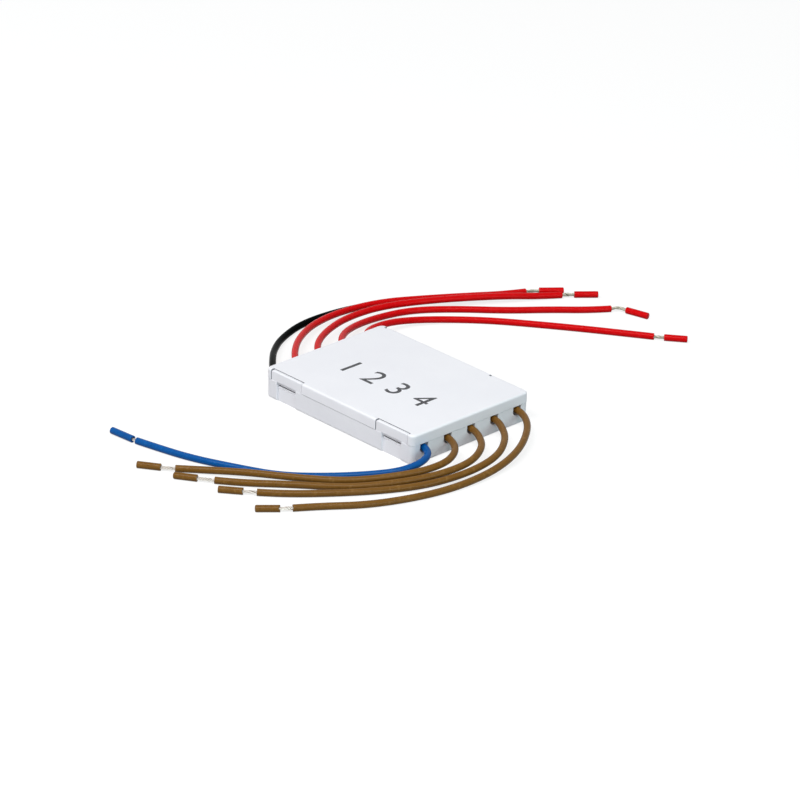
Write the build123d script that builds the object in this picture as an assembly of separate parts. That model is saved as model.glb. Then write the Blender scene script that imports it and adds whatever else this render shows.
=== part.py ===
from build123d import *
import math
import os

# Flat four-channel decoupling module for a wall box: a two-part snap case that holds a circuit board,
# with five insulated leads out of each short end. Sizes are in millimetres. The origin is at the centre
# of the underside, +Z is up, +X points to the mains side (blue and brown leads) and -X to the signal
# side (black and red leads).

# Leads and their rows
LEADS_PER_END = 5
LEAD_PITCH = 7.62
LEAD_OFFSET = 0.28
LEAD_OD = 1.7
LEAD_BELOW_PARTING = 1.08
CONDUCTOR_OD = 0.94
LEAD_START_GAP = 0.3
KNEE_INSIDE = 0.1
SLUG_BORE_CLEARANCE = 0.05
SLUG_CLOSED_END = 0.4
NOTCH_SIDE_CLEARANCE = 0.42
NOTCH_OFFSET = 0.1
NOTCH_UNDER_CLEARANCE = 0.47

# Case
CASE_LENGTH = 50.0
SIDE_MARGIN = 3.76
CASE_HEIGHT = 7.6
CORNER_RADIUS = 1.5
WALL = 1.4
FLOOR = 1.2
LID = 1.2
COVER_DEPTH = 2.7
PARTING_GAP = 0.06
DRAFT = 1.2
COVER_PROUD = 0.05
BOTTOM_FILLET = 0.6
TOP_FILLET = 0.5
INNER_CORNER = 0.8
CUT_PAST = 1.0

# Shiplap lip on the base, inside the cover's skirt
LIP_HEIGHT = 0.8
LIP_THICKNESS = 0.6
LIP_CLEARANCE = 0.1

# Snap tabs of the base and hooks of the cover
TAB_FROM_END = 1.8
TAB_WIDTH = 10.5
TAB_THICKNESS = 0.85
TAB_INSET = 0.04
TAB_BELOW_TOP = 0.1
TAB_CORNER = 0.6
TAB_EDGE = 0.25
TAB_GROOVE = 0.15
RECESS_WIDTH = 6.6
RECESS_DEPTH = 0.6
RECESS_ABOVE_PARTING = 0.2
WINDOW_BELOW_PARTING = 0.7
WINDOW_HEIGHT = 0.85
HOOK_HEAD_GAP = 0.25
HOOK_SIDE_GAP = 0.08
HOOK_SILL_GAP = 0.06
HOOK_BACK_GAP = 0.08
HOOK_FALL = 0.6
HOOK_STRAP = 0.55
TONGUE_THICKNESS = 0.86
TONGUE_BELOW_SILL = 0.6
TONGUE_FOOT_GAP = 0.1

# Combs that clamp the leads
COMB_GAP = 0.4
COMB_THICKNESS = 1.0
COMB_MOUTH = 0.05
COMB_SEAT_CLEARANCE = 0.03

# Circuit board
BOARD_THICKNESS = 1.0
BOARD_END_GAP = 0.6
BOARD_SIDE_GAP = 0.2
BOARD_CORNER = 0.8
TAIL_BOARD_GAP = 0.03
TAIL_LENGTH = 3.3
SOLDER_RADIUS = 1.1
SOLDER_INSET = 1.7
SOLDER_CLEARANCE = 0.02
POST_INSET = 2.6
POST_RADIUS = 1.5
PEG_RADIUS = 0.6
PEG_CLEARANCE = 0.1
PEG_PROUD = 0.4
PILLAR_RADIUS = 1.0
SLOT_WIDTH = 1.0
SLOT_LENGTH = 5.6

# Components of one channel, in a row along X from the mains end
COMPONENT_GAP = 1.0
CHIP_LENGTH = 3.2
CHIP_WIDTH = 1.6
CHIP_CAP = 0.5
CHIP_CAP_PROUD = 0.04
RESISTOR_HEIGHT = 0.6
CAPACITOR_HEIGHT = 1.5
PACKAGE_STANDOFF = 0.1
PACKAGE_CHAMFER = 0.25
PIN_THICKNESS = 0.2
PIN_FOOT = 0.8
PIN_PITCH = 2.54
BRIDGE_SIZE = (3.9, 4.7, 2.3)
BRIDGE_SPAN = 6.5
BRIDGE_PIN_WIDTH = 0.65
OPTO_SIZE = (3.6, 4.4, 2.0)
OPTO_SPAN = 7.0
OPTO_PIN_WIDTH = 0.4

# Worked out from the sizes above
LEAD_ROWS = range(-(LEADS_PER_END // 2), LEADS_PER_END // 2 + 1)
CHANNEL_ROWS = LEAD_ROWS[1:]
CASE_WIDTH = (LEADS_PER_END - 1) * LEAD_PITCH + 2 * SIDE_MARGIN
PARTING_Z = CASE_HEIGHT - COVER_DEPTH
FLARE = PARTING_Z * math.tan(math.radians(DRAFT))
PARTING_X = CASE_LENGTH / 2 + FLARE
PARTING_Y = CASE_WIDTH / 2 + FLARE
INNER_X = CASE_LENGTH / 2 - WALL
INNER_Y = CASE_WIDTH / 2 - WALL
LID_UNDERSIDE = CASE_HEIGHT - LID
TAB_CENTRE = CASE_LENGTH / 2 - TAB_FROM_END - TAB_WIDTH / 2
TAB_FACE_Y = PARTING_Y - TAB_INSET
TAB_BACK_Y = TAB_FACE_Y - TAB_THICKNESS
NOTCH_BACK_Y = TAB_BACK_Y - TAB_GROOVE
TONGUE_INNER_Y = NOTCH_BACK_Y - TONGUE_THICKNESS
RECESS_BACK_Y = PARTING_Y - RECESS_DEPTH
WINDOW_HEAD_Z = PARTING_Z - WINDOW_BELOW_PARTING
WINDOW_SILL_Z = WINDOW_HEAD_Z - WINDOW_HEIGHT
TONGUE_FOOT_Z = WINDOW_SILL_Z - TONGUE_BELOW_SILL
POCKET_FLOOR_Z = TONGUE_FOOT_Z - TONGUE_FOOT_GAP
POST_Y = LEAD_PITCH * 3 / 2
PILLAR_Y = LEAD_PITCH / 2
LEAD_Z = PARTING_Z - LEAD_BELOW_PARTING
NOTCH_RADIUS = LEAD_OD / 2 + NOTCH_SIDE_CLEARANCE
NOTCH_CENTRE_Z = LEAD_Z - LEAD_OD / 2 - NOTCH_UNDER_CLEARANCE + NOTCH_RADIUS
COMB_OUTER_X = INNER_X - COMB_GAP
COMB_INNER_X = COMB_OUTER_X - COMB_THICKNESS
LEAD_START_X = COMB_INNER_X - LEAD_START_GAP
BOARD_X = COMB_INNER_X - BOARD_END_GAP
BOARD_Y = TONGUE_INNER_Y - BOARD_SIDE_GAP
BOARD_TOP = LEAD_Z - CONDUCTOR_OD / 2 - TAIL_BOARD_GAP
BOARD_BOTTOM = BOARD_TOP - BOARD_THICKNESS
SOLDER_X = BOARD_X - SOLDER_INSET
POST_X = BOARD_X - POST_INSET

# Each lead: the end of the case it leaves, its row, the bare strands between insulation and slug, the
# slug's length, the slug's heading in plan (degrees from +X), and the route's points after the knee.
LEADS = {
    "blue_lead": (1, -2, 1.1, 6.9, 184.9, [
        (28.2, -16.8, 3.6), (29.4, -19.9, 3.25), (29.3, -23.2, 2.85), (27.6, -27.3, 2.2),
        (22.3, -32.7, 1.2), (17.2, -38.6, 0.85), (10.0, -46.4, 0.85), (0.2, -51.3, 0.85),
        (-9.9, -55.8, 0.85), (-19.8, -58.3, 0.85), (-25.1, -59.4, 0.85)]),
    "brown_lead_1": (1, -1, 3.3, 5.7, 214.6, [
        (28.9, -9.0, 3.65), (31.8, -12.1, 3.5), (33.2, -16.6, 3.15), (32.1, -22.8, 2.65),
        (27.9, -30.3, 1.9), (22.5, -38.0, 1.5), (14.4, -45.0, 1.5), (4.6, -51.8, 1.45),
        (-4.1, -58.2, 0.85), (-8.35, -62.15, 0.85)]),
    "brown_lead_2": (1, 0, 4.0, 5.7, 213.7, [
        (28.9, -1.1, 3.6), (33.3, -4.4, 3.35), (36.3, -11.1, 2.8), (35.2, -19.8, 2.1),
        (30.9, -29.1, 1.35), (24.6, -39.0, 0.95), (14.8, -47.6, 0.85), (7.0, -55.6, 0.85),
        (2.0, -59.3, 0.85)]),
    "brown_lead_3": (1, 1, 3.1, 5.8, 219.0, [
        (28.3, 6.7, 3.65), (33.5, 3.1, 3.35), (38.0, -4.1, 2.75), (38.4, -13.7, 1.8),
        (35.4, -24.5, 0.9), (30.2, -34.8, 0.85), (23.6, -44.4, 0.85), (16.9, -52.5, 0.85),
        (12.8, -56.1, 0.85)]),
    "brown_lead_4": (1, 2, 2.8, 5.7, 229.5, [
        (28.7, 14.4, 3.6), (33.3, 10.6, 3.25), (38.4, 2.6, 2.4), (40.7, -7.0, 1.35),
        (40.6, -18.9, 0.85), (38.4, -30.1, 0.85), (33.7, -41.5, 0.85), (27.1, -50.2, 0.85),
        (23.9, -55.3, 0.85)]),
    "black_lead": (-1, -2, 3.0, 6.0, 58.0, [
        (-28.4, -13.8, 3.6), (-34.1, -8.7, 3.0), (-39.6, -3.3, 1.95), (-45.5, 4.5, 0.85),
        (-48.9, 14.6, 0.85), (-48.5, 26.0, 0.85), (-45.7, 37.1, 0.85), (-42.2, 44.8, 0.85),
        (-40.0, 48.7, 0.85)]),
    "red_lead_1": (-1, -1, 3.5, 6.3, 51.0, [
        (-29.0, -5.9, 3.65), (-34.4, -1.2, 3.4), (-39.7, 5.2, 2.9), (-44.5, 14.0, 2.2),
        (-46.4, 24.7, 1.85), (-44.5, 36.8, 1.75), (-38.9, 46.9, 1.75), (-33.1, 56.4, 1.7),
        (-28.3, 65.4, 1.25), (-26.3, 70.5, 1.15)]),
    "red_lead_2": (-1, 0, 3.1, 6.1, 50.5, [
        (-29.2, 1.6, 3.65), (-34.1, 6.1, 3.5), (-38.3, 13.4, 3.15), (-41.2, 22.4, 2.75),
        (-41.5, 33.5, 2.35), (-37.7, 44.5, 2.1), (-32.0, 54.7, 2.05), (-26.3, 63.8, 1.9),
        (-22.3, 72.0, 0.85), (-19.4, 76.6, 0.85)]),
    "red_lead_3": (-1, 1, 4.2, 6.2, 13.6, [
        (-29.2, 9.4, 3.6), (-33.8, 14.0, 3.15), (-37.3, 21.2, 2.2), (-39.1, 30.7, 1.1),
        (-37.2, 41.1, 0.85), (-30.2, 50.3, 0.85), (-21.8, 58.9, 0.85), (-15.0, 67.8, 0.85),
        (-8.3, 75.3, 0.85), (-5.5, 79.9, 0.85)]),
    "red_lead_4": (-1, 2, 2.4, 5.8, 39.1, [
        (-29.2, 17.5, 3.55), (-31.8, 21.5, 3.3), (-32.8, 28.9, 2.5), (-31.5, 36.2, 1.55),
        (-27.5, 43.8, 0.85), (-20.0, 51.6, 0.85), (-10.7, 58.9, 0.85), (-1.0, 66.1, 0.85),
        (8.4, 72.6, 0.85), (13.05, 75.8, 0.85)]),
}


def row_y(row):
    """Y of a row of the board, counted from the middle one."""
    return row * LEAD_PITCH


def lead_y(side, row):
    """Y of a lead, a little off its row to the side that it bends away from."""
    return row_y(row) + side * LEAD_OFFSET


def block(x0, x1, y0, y1, z0, z1):
    """A box between two corners."""
    size = (x1 - x0, y1 - y0, z1 - z0)
    return Pos((x0 + x1) / 2, (y0 + y1) / 2, (z0 + z1) / 2) * Box(*size)


def tray(half_x, half_y, corner, z0, z1):
    """An upright block with rounded corners."""
    outline = RectangleRounded(2 * half_x, 2 * half_y, corner)
    return Pos(0, 0, z0) * extrude(outline, amount=z1 - z0)


def upright(x, y, radius, z0, z1):
    """An upright cylinder from z0 to z1."""
    return Pos(x, y, (z0 + z1) / 2) * Cylinder(radius, z1 - z0)


def along_x(x0, x1, y, z, radius):
    """A cylinder along X from x0 to x1."""
    return Pos((x0 + x1) / 2, y, z) * Rot(0, 90, 0) * Cylinder(radius, abs(x1 - x0))


def corners():
    """The four (side along X, side along Y) pairs."""
    return [(sx, sy) for sx in (-1, 1) for sy in (-1, 1)]


def between(a, b, side):
    """A low and a high value on the given side of zero."""
    return sorted((side * a, side * b))


def corner_block(sx, sy, half_width, y0, y1, z0, z1):
    """A box centred on one snap tab along X, from y0 to y1 out from the middle."""
    ys = between(y0, y1, sy)
    x = sx * TAB_CENTRE
    return block(x - half_width, x + half_width, *ys, z0, z1)


def lead_notches(z_top):
    """A round-bottomed slot through the end wall for each lead, off its row to the side that it bends to."""
    cut = Part()
    for side in (-1, 1):
        x0, x1 = between(COMB_OUTER_X, PARTING_X + CUT_PAST, side)
        for row in LEAD_ROWS:
            y = row_y(row) - side * NOTCH_OFFSET
            cut += along_x(x0, x1, y, NOTCH_CENTRE_Z, NOTCH_RADIUS)
            cut += block(x0, x1, y - NOTCH_RADIUS, y + NOTCH_RADIUS, NOTCH_CENTRE_Z, z_top)
    return cut


def comb_seats():
    """The round channels that grip the leads in the combs of the base and the cover."""
    radius = LEAD_OD / 2 + COMB_SEAT_CLEARANCE
    cut = Part()
    for side in (-1, 1):
        x0, x1 = between(COMB_INNER_X - CUT_PAST, INNER_X, side)
        for row in LEAD_ROWS:
            cut += along_x(x0, x1, lead_y(side, row), LEAD_Z, radius)
    return cut


def across(profile, half_width, sy):
    """A profile in Y and Z carried along X by half_width each way, turned over for the side at -Y."""
    bar = extrude(Plane.YZ * make_face(profile), amount=half_width, both=True)
    return bar if sy > 0 else mirror(bar, about=Plane.XZ)


def combs(z0, z1):
    """A bar across each end of the cavity, between z0 and z1."""
    bars = Part()
    for side in (-1, 1):
        bars += block(*between(COMB_INNER_X, COMB_OUTER_X, side), -INNER_Y, INNER_Y, z0, z1)
    return bars


def snap_tab(sx, sy):
    """One tab of the base with its upper corners rounded, and the edges of its outer face too."""
    top = CASE_HEIGHT - TAB_BELOW_TOP
    tab = corner_block(sx, sy, TAB_WIDTH / 2, TAB_BACK_Y, TAB_FACE_Y, WINDOW_HEAD_Z, top)
    tab = fillet(tab.edges().filter_by(Axis.Y).group_by(Axis.Z)[-1], TAB_CORNER)
    outer = tab.faces().sort_by(Axis.Y)[-1 if sy > 0 else 0]
    return fillet([edge for group in outer.edges().group_by(Axis.Z)[1:] for edge in group], TAB_EDGE)


def tab_recess(sx, sy):
    """The recess down the outside of a tab, whose head is a ramp that slopes in and down to the window."""
    out_y = PARTING_Y + CUT_PAST
    steep = (PARTING_Z + RECESS_ABOVE_PARTING - WINDOW_HEAD_Z) / (TAB_FACE_Y - RECESS_BACK_Y)
    ramp_z = WINDOW_HEAD_Z + steep * (out_y - RECESS_BACK_Y)
    profile = Polyline((RECESS_BACK_Y, -CUT_PAST), (out_y, -CUT_PAST), (out_y, ramp_z),
                       (RECESS_BACK_Y, WINDOW_HEAD_Z), close=True)
    return Pos(sx * TAB_CENTRE, 0, 0) * across(profile, RECESS_WIDTH / 2, sy)


def base_case():
    """Lower shell: floor, walls, shiplap lip, four snap tabs, lead notches, comb, posts and pegs."""
    outline = RectangleRounded(2 * PARTING_X, 2 * PARTING_Y, CORNER_RADIUS)
    shell = Pos(0, 0, PARTING_Z) * Rot(180, 0, 0) * extrude(outline, amount=PARTING_Z, taper=DRAFT)
    shell = fillet(shell.edges().group_by(Axis.Z)[0], BOTTOM_FILLET)
    lip_x, lip_y = INNER_X + LIP_THICKNESS, INNER_Y + LIP_THICKNESS
    shell += tray(lip_x, lip_y, INNER_CORNER + LIP_THICKNESS, PARTING_Z, PARTING_Z + LIP_HEIGHT)
    for sx, sy in corners():
        shell -= corner_block(sx, sy, TAB_WIDTH / 2 + 2 * TAB_GROOVE, INNER_Y - CUT_PAST,
                              PARTING_Y + CUT_PAST, PARTING_Z, CASE_HEIGHT)
    shell -= tray(INNER_X, INNER_Y, INNER_CORNER, FLOOR, CASE_HEIGHT)
    for sx, sy in corners():
        shell -= corner_block(sx, sy, RECESS_WIDTH / 2, INNER_Y - CUT_PAST, TAB_BACK_Y, POCKET_FLOOR_Z,
                              PARTING_Z + CUT_PAST)
        shell += snap_tab(sx, sy)
        shell -= tab_recess(sx, sy)
        shell -= corner_block(sx, sy, RECESS_WIDTH / 2, TAB_BACK_Y, RECESS_BACK_Y, WINDOW_SILL_Z,
                              WINDOW_HEAD_Z)
    shell += combs(FLOOR, LEAD_Z - COMB_MOUTH) - comb_seats()
    shell -= lead_notches(PARTING_Z + LIP_HEIGHT + CUT_PAST)
    for sx, sy in corners():
        shell += upright(sx * POST_X, sy * POST_Y, POST_RADIUS, FLOOR, BOARD_BOTTOM)
        shell += upright(sx * POST_X, sy * POST_Y, PEG_RADIUS, BOARD_BOTTOM, BOARD_TOP + PEG_PROUD)
    return shell


def snap_hook(sx, sy):
    """One slotted tongue of the cover, whose hook rises from the slot's foot out into the tab's window."""
    half = RECESS_WIDTH / 2 - HOOK_SIDE_GAP
    head = WINDOW_HEAD_Z - HOOK_HEAD_GAP
    heel = WINDOW_SILL_Z + HOOK_SILL_GAP
    back_y = TAB_BACK_Y - HOOK_BACK_GAP
    root_y = NOTCH_BACK_Y - TONGUE_THICKNESS / 2
    tongue = corner_block(sx, sy, half, TONGUE_INNER_Y, NOTCH_BACK_Y, TONGUE_FOOT_Z, LID_UNDERSIDE + LID / 2)
    tongue -= corner_block(sx, sy, half - HOOK_STRAP, TONGUE_INNER_Y - CUT_PAST, NOTCH_BACK_Y + CUT_PAST,
                           head - HOOK_FALL, WINDOW_HEAD_Z)
    profile = Polyline((root_y, head - HOOK_FALL), (RECESS_BACK_Y, head), (RECESS_BACK_Y, heel),
                       (back_y, heel), (root_y, heel - HOOK_FALL), close=True)
    return tongue + Pos(sx * TAB_CENTRE, 0, 0) * across(profile, half, sy)


def top_cover():
    """Upper shell: top plate, skirt, tab notches, snap hooks, clamp comb and hold-down pillars."""
    half_x, half_y = PARTING_X + COVER_PROUD, PARTING_Y + COVER_PROUD
    outline = RectangleRounded(2 * half_x, 2 * half_y, CORNER_RADIUS)
    rim_z = PARTING_Z + PARTING_GAP
    shell = Pos(0, 0, rim_z) * extrude(outline, amount=CASE_HEIGHT - rim_z, taper=DRAFT)
    shell = fillet(shell.edges().group_by(Axis.Z)[-1], TOP_FILLET)
    shell -= tray(INNER_X, INNER_Y, INNER_CORNER, PARTING_Z - CUT_PAST, LID_UNDERSIDE)
    relief = LIP_THICKNESS + LIP_CLEARANCE
    shell -= tray(INNER_X + relief, INNER_Y + relief, INNER_CORNER + relief, PARTING_Z - CUT_PAST,
                  PARTING_Z + LIP_HEIGHT + LIP_CLEARANCE)
    for sx, sy in corners():
        shell -= corner_block(sx, sy, TAB_WIDTH / 2 + TAB_GROOVE, NOTCH_BACK_Y, PARTING_Y + CUT_PAST,
                              PARTING_Z - CUT_PAST, CASE_HEIGHT + CUT_PAST)
        shell += snap_hook(sx, sy)
    bars = combs(LEAD_Z + COMB_MOUTH, LID_UNDERSIDE) - comb_seats()
    for side in (-1, 1):
        bars -= block(-PARTING_X, PARTING_X, *between(BOARD_Y, PARTING_Y, side), 0, LID_UNDERSIDE)
    shell += bars
    for sx, sy in corners():
        shell += upright(sx * POST_X, sy * PILLAR_Y, PILLAR_RADIUS, BOARD_TOP, LID_UNDERSIDE)
    return shell


def circuit_board(opto_x):
    """Board with a hole for each peg and an isolation slot under each optocoupler."""
    board = tray(BOARD_X, BOARD_Y, BOARD_CORNER, BOARD_BOTTOM, BOARD_TOP)
    for sx, sy in corners():
        radius = PEG_RADIUS + PEG_CLEARANCE
        board -= upright(sx * POST_X, sy * POST_Y, radius, BOARD_BOTTOM - CUT_PAST, BOARD_TOP + CUT_PAST)
    slot = SlotOverall(SLOT_LENGTH, SLOT_WIDTH, rotation=90)
    for row in CHANNEL_ROWS:
        board -= Pos(opto_x, row_y(row), BOARD_BOTTOM) * extrude(slot, amount=BOARD_THICKNESS)
    return board


def lead_tails(side):
    """The bare conductors of one end, lying on the board's pads."""
    inner = LEAD_START_X - TAIL_LENGTH
    return [along_x(side * inner, side * LEAD_START_X, lead_y(side, row), LEAD_Z, CONDUCTOR_OD / 2)
            for row in LEAD_ROWS]


def solder_joints(side):
    """A dome of solder over each tail of one end."""
    domes = []
    x = side * SOLDER_X
    for row in LEAD_ROWS:
        y = lead_y(side, row)
        dome = Pos(x, y, BOARD_TOP) * Sphere(SOLDER_RADIUS)
        dome &= block(x - SOLDER_RADIUS, x + SOLDER_RADIUS, y - SOLDER_RADIUS, y + SOLDER_RADIUS, BOARD_TOP,
                      LID_UNDERSIDE)
        bore = CONDUCTOR_OD / 2 + SOLDER_CLEARANCE
        dome -= along_x(x - 2 * SOLDER_RADIUS, x + 2 * SOLDER_RADIUS, y, LEAD_Z, bore)
        domes += dome.solids()
    return domes


def chip(x, y, height, turned=False):
    """A ceramic chip part on the board with a metal cap at each end, as one solid."""
    z0, z1 = BOARD_TOP, BOARD_TOP + height
    half = CHIP_LENGTH / 2
    body = block(-half, half, -CHIP_WIDTH / 2, CHIP_WIDTH / 2, z0 + CHIP_CAP_PROUD, z1 - CHIP_CAP_PROUD)
    for side in (-1, 1):
        body += block(*between(half - CHIP_CAP, half, side), -CHIP_WIDTH / 2 - CHIP_CAP_PROUD,
                      CHIP_WIDTH / 2 + CHIP_CAP_PROUD, z0, z1)
    return Pos(x, y, 0) * Rot(0, 0, 90 if turned else 0) * body


def package(x, y, size, span, pin_width):
    """A moulded package with two gull-wing pins on each side along X, as one solid."""
    length, width, height = size
    z0 = BOARD_TOP + PACKAGE_STANDOFF
    body = block(-length / 2, length / 2, -width / 2, width / 2, z0, z0 + height)
    body = chamfer(body.edges().group_by(Axis.Z)[-1], PACKAGE_CHAMFER)
    shoulder = z0 + height / 2
    t = PIN_THICKNESS
    inner, tip = length / 2 - t, span / 2
    knee = tip - PIN_FOOT
    profile = Polyline(
        (inner, shoulder), (knee, shoulder), (knee, BOARD_TOP + t), (tip, BOARD_TOP + t),
        (tip, BOARD_TOP), (knee - t, BOARD_TOP), (knee - t, shoulder - t), (inner, shoulder - t), close=True)
    pin = extrude(Plane.XZ * make_face(profile), amount=pin_width / 2, both=True)
    for py in (-PIN_PITCH / 2, PIN_PITCH / 2):
        body += Pos(0, py, 0) * pin
        body += Pos(0, py, 0) * mirror(pin, about=Plane.YZ)
    return Pos(x, y, 0) * body


def arc_radii(points):
    """Radius at each corner: 0.45 of the shorter run over the tangent of half the turn."""
    runs = [b - a for a, b in zip(points, points[1:])]
    radii = []
    for a, b in zip(runs, runs[1:]):
        half_turn = math.radians(a.get_angle(b) / 2)
        radii.append(0.45 * min(a.length, b.length) / math.tan(half_turn))
    return radii


def tube(name, points, diameter):
    """A round tube along straight runs joined by tangent arcs. Prints its radii, length and volume."""
    points = [Vector(*p) for p in points]
    radii = arc_radii(points)
    path = FilletPolyline(*points, radius=radii)
    section = Plane(origin=points[0], z_dir=points[1] - points[0]) * Circle(diameter / 2)
    solid = sweep(section, path=path)
    ideal = math.pi * diameter ** 2 / 4 * path.length
    print(name, "radii", [round(r, 1) for r in radii], "length", round(path.length, 2),
          "volume / ideal", round(solid.volume / ideal, 4))
    return solid


def lead_route(side, row, route):
    """All the points of one lead, from inside the comb to the end of its insulation."""
    y = lead_y(side, row)
    knee = CASE_LENGTH / 2 - KNEE_INSIDE
    return [(side * LEAD_START_X, y, LEAD_Z), (side * knee, y, LEAD_Z)] + route


def bare_route(bare, slug, heading, route):
    """The lead's end, the strands' bend halfway over the gap, the slug's inner end, its tip, its heading."""
    end, before = Vector(*route[-1]), Vector(*route[-2])
    bend = end + (end - before).normalized() * (bare / 2)
    turned = math.radians(heading)
    out = Vector(math.cos(turned), math.sin(turned), 0)
    slug_start = bend + out * (bare / 2)
    tip = slug_start + out * (slug - bare)
    return end, bend, slug_start, tip, out


def lead_end(name, bare, slug, heading, route):
    """The bare strands past the insulation and the loose slug that slides on them."""
    end, bend, slug_start, tip, out = bare_route(bare, slug, heading, route)
    strands = tube(name + " strands", [tuple(end), tuple(bend), tuple(tip)], CONDUCTOR_OD)
    place = Plane(origin=slug_start, z_dir=out)
    bore = Circle(CONDUCTOR_OD / 2 + SLUG_BORE_CLEARANCE)
    sleeve = extrude(place * Circle(LEAD_OD / 2), amount=slug)
    return strands, sleeve - extrude(place * bore, amount=slug - SLUG_CLOSED_END)


def save(name, shape):
    """Writes one sub-part, which may be several separate solids."""
    solids = shape if isinstance(shape, list) else shape.solids()
    export_step(solids[0] if len(solids) == 1 else Compound(children=list(solids)), f"parts/{name}.step")


def channel_layout():
    """X of each component's centre, one named gap after the other from the mains solder joints."""
    lengths = [CHIP_LENGTH, CHIP_LENGTH, BRIDGE_SPAN, CHIP_WIDTH, OPTO_SPAN]
    edge = SOLDER_X - SOLDER_RADIUS
    centres = []
    for length in lengths:
        centres.append(edge - COMPONENT_GAP - length / 2)
        edge = centres[-1] - length / 2
    return centres


os.makedirs("parts", exist_ok=True)
first_resistor_x, second_resistor_x, bridge_x, capacitor_x, opto_x = channel_layout()
save("base_case", base_case())
save("top_cover", top_cover())
save("circuit_board", circuit_board(opto_x))
for side, end_name in ((1, "mains"), (-1, "signal")):
    save(end_name + "_lead_tails", lead_tails(side))
    save(end_name + "_solder_joints", solder_joints(side))
for channel, row in enumerate(CHANNEL_ROWS, start=1):
    y = row_y(row)
    pair = [chip(x, y, RESISTOR_HEIGHT).solid() for x in (first_resistor_x, second_resistor_x)]
    save(f"dropper_resistors_{channel}", pair)
    save(f"bridge_rectifier_{channel}", package(bridge_x, y, BRIDGE_SIZE, BRIDGE_SPAN, BRIDGE_PIN_WIDTH))
    save(f"smoothing_capacitor_{channel}", chip(capacitor_x, y, CAPACITOR_HEIGHT, turned=True))
    save(f"optocoupler_{channel}", package(opto_x, y, OPTO_SIZE, OPTO_SPAN, OPTO_PIN_WIDTH))
for name, (side, row, bare, slug, heading, route) in LEADS.items():
    save(name, tube(name, lead_route(side, row, route), LEAD_OD))
    strands, sleeve = lead_end(name, bare, slug, heading, route)
    save(name.replace("lead", "strands"), strands)
    save(name.replace("lead", "slug"), sleeve)
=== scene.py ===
import math

import bmesh
import bpy
import numpy as np
from mathutils import Matrix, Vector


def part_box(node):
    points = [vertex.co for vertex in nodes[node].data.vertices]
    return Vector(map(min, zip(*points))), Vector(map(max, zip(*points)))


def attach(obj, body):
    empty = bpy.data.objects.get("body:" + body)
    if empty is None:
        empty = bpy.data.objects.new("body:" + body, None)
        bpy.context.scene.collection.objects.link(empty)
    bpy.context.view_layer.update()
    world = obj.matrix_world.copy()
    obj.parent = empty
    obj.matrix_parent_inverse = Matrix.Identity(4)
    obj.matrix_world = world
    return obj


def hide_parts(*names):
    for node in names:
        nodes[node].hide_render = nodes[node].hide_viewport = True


# A flat white isolating module with five flying leads out of each short end. All lengths are in metres.

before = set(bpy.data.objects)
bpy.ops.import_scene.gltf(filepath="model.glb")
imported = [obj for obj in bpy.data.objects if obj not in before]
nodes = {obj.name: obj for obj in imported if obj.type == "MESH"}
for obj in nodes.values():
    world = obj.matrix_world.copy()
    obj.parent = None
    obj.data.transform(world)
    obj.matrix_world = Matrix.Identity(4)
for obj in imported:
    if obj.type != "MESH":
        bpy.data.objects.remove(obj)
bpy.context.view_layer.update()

# Camera: where it stands round the module, its roll, its distance and its focal length in pixels
CAMERA_AZIMUTH = 45.33
CAMERA_ELEVATION = 25.44
CAMERA_ROLL = 1.849
CAMERA_DISTANCE = 0.9693
FOCAL_PIXELS = 4087.6
PICTURE_PIXELS = 800
CENTRE_LEFT_PIXELS = 3.77
CENTRE_DOWN_PIXELS = 8.01
SENSOR = 36.0

# Leads
LEAD_RADIUS = 0.00085
CONDUCTOR_RADIUS = 0.00047
LEAD_AROUND = 28
STATION_STEP = 0.0005
SPLINE_STEPS = 24
CUT_RIM = 0.00009
HOLE_RADIUS = 0.0004
LOWEST_TURN = -math.pi / 2
SHARP_DEGREES = 50

# Strands: ten wires, seven round three
WIRE_RADIUS = 0.00012
WIRE_AROUND = 7
OUTER_WIRES = 7
OUTER_LAY_RADIUS = 0.00028
INNER_WIRES = 3
INNER_LAY_RADIUS = 0.00013
LAY_LENGTH = 0.0075
HIDDEN_LENGTH = 0.0015
STRAND_STEP = 0.00018

# Slugs: the bore, its chamfered mouth and the ring that closes its blind end, and the domed outer end,
# whose rings are shares of the end face's radius
BORE_RADIUS = 0.00052
BORE_MOUTH = 0.00004
BORE_POINT = 0.00004
CLOSED_END = 0.0004
DOME_HEIGHT = 0.00007
DOME_RINGS = np.array([0.75, 0.5, 0.25, 0.04])

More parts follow.
